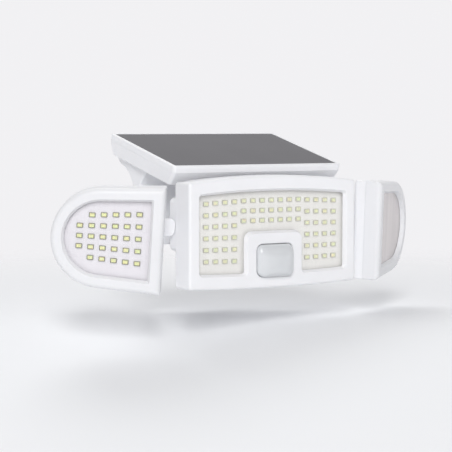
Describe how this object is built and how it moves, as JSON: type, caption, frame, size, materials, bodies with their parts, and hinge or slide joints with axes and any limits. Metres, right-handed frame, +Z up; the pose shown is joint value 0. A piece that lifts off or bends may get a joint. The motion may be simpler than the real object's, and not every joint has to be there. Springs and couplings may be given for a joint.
{
  "type": "solar security floodlight",
  "caption": "Wall-mounted solar floodlight with a motion sensor, a wide main lamp head, two folding D-shaped wing lamps and a sloping solar panel on top.",
  "frame": {"origin": "centre of the wall plate's back face", "axes": "+Y into the wall, +X to the right seen from the front, +Z up; the lamps face -Y"},
  "size_m": [0.3599, 0.1332, 0.1263],
  "materials": {
    "white_housing": "satin moulded, fine texture",
    "clear_cover": "clear polished cover",
    "sensor_lens": "translucent smooth",
    "led_board": "white solder mask with lamp chips",
    "solar_cell": "smooth laminated",
    "rubber_seal": "soft matte",
    "steel": "zinc plated",
    "circuit_board": "solder mask",
    "black_plastic": "moulded",
    "battery_sleeve": "shrink sleeve"
  },
  "bodies": {
    "mount_body": {"wall_plate": "white_housing", "wall_screw_1": "steel", "wall_screw_2": "steel", "wall_screw_3": "steel", "wall_screw_4": "steel", "lock_screw_1": "steel", "lock_screw_2": "steel", "rear_body": "white_housing", "arm_cover": "white_housing", "cover_screw_1": "steel", "cover_screw_2": "steel", "cover_screw_3": "steel", "cover_screw_4": "steel", "battery_left": "battery_sleeve", "battery_right": "battery_sleeve", "battery_holder": "black_plastic", "control_board": "circuit_board", "panel_frame": "white_housing", "solar_panel": "solar_cell", "panel_seal": "rubber_seal", "panel_terminal": "black_plastic", "tilt_pin": "steel"},
    "main_head": {"main_bezel": "white_housing", "main_lens": "clear_cover", "main_gasket": "rubber_seal", "main_led_board": "led_board", "motion_sensor_lens": "sensor_lens", "infrared_sensor": "steel", "sensor_board": "circuit_board", "main_rear_shell": "white_housing", "main_shell_screw_1": "steel", "main_shell_screw_2": "steel", "main_shell_screw_3": "steel", "main_shell_screw_4": "steel", "head_bracket": "white_housing", "bracket_screw_1": "steel", "bracket_screw_2": "steel", "button_switch": "black_plastic", "switch_board": "circuit_board"},
    "mode_button": {"mode_button": "rubber_seal"},
    "left_knuckle": {"left_knuckle": "white_housing", "left_pivot_screw": "steel"},
    "left_wing": {"left_bezel": "white_housing", "left_rear_shell": "white_housing", "left_lens": "clear_cover", "left_gasket": "rubber_seal", "left_led_board": "led_board", "left_swing_pin": "steel"},
    "right_knuckle": {"right_knuckle": "white_housing", "right_pivot_screw": "steel"},
    "right_wing": {"right_bezel": "white_housing", "right_rear_shell": "white_housing", "right_lens": "clear_cover", "right_gasket": "rubber_seal", "right_led_board": "led_board", "right_swing_pin": "steel"}
  },
  "joints": [
    {"name": "head_tilt", "type": "hinge", "parent": "mount_body", "child": "main_head", "pos_m": [0, -0.064, -0.004], "axis": [1, 0, 0], "range_deg": [0, 30]},
    {"name": "left_tilt", "type": "hinge", "parent": "main_head", "child": "left_knuckle", "pos_m": [-0.0982, -0.102, -0.006], "axis": [1, 0, 0], "range_deg": [-36.4, 38.6]},
    {"name": "left_swing", "type": "hinge", "parent": "left_knuckle", "child": "left_wing", "pos_m": [-0.0982, -0.102, -0.006], "axis": [0, 0.1115, -0.9938], "range_deg": [-35.7, 54.3]},
    {"name": "right_tilt", "type": "hinge", "parent": "main_head", "child": "right_knuckle", "pos_m": [0.0982, -0.102, -0.006], "axis": [1, 0, 0], "range_deg": [-33.1, 41.9]},
    {"name": "right_swing", "type": "hinge", "parent": "right_knuckle", "child": "right_wing", "pos_m": [0.0982, -0.102, -0.006], "axis": [0, -0.0541, 0.9985], "range_deg": [-34, 56]},
    {"name": "mode_button_press", "type": "slide", "parent": "main_head", "child": "mode_button", "axis": [0, -1, 0], "range_m": [0, 0.0012], "stiffness_N_per_m": 400}
  ]
}
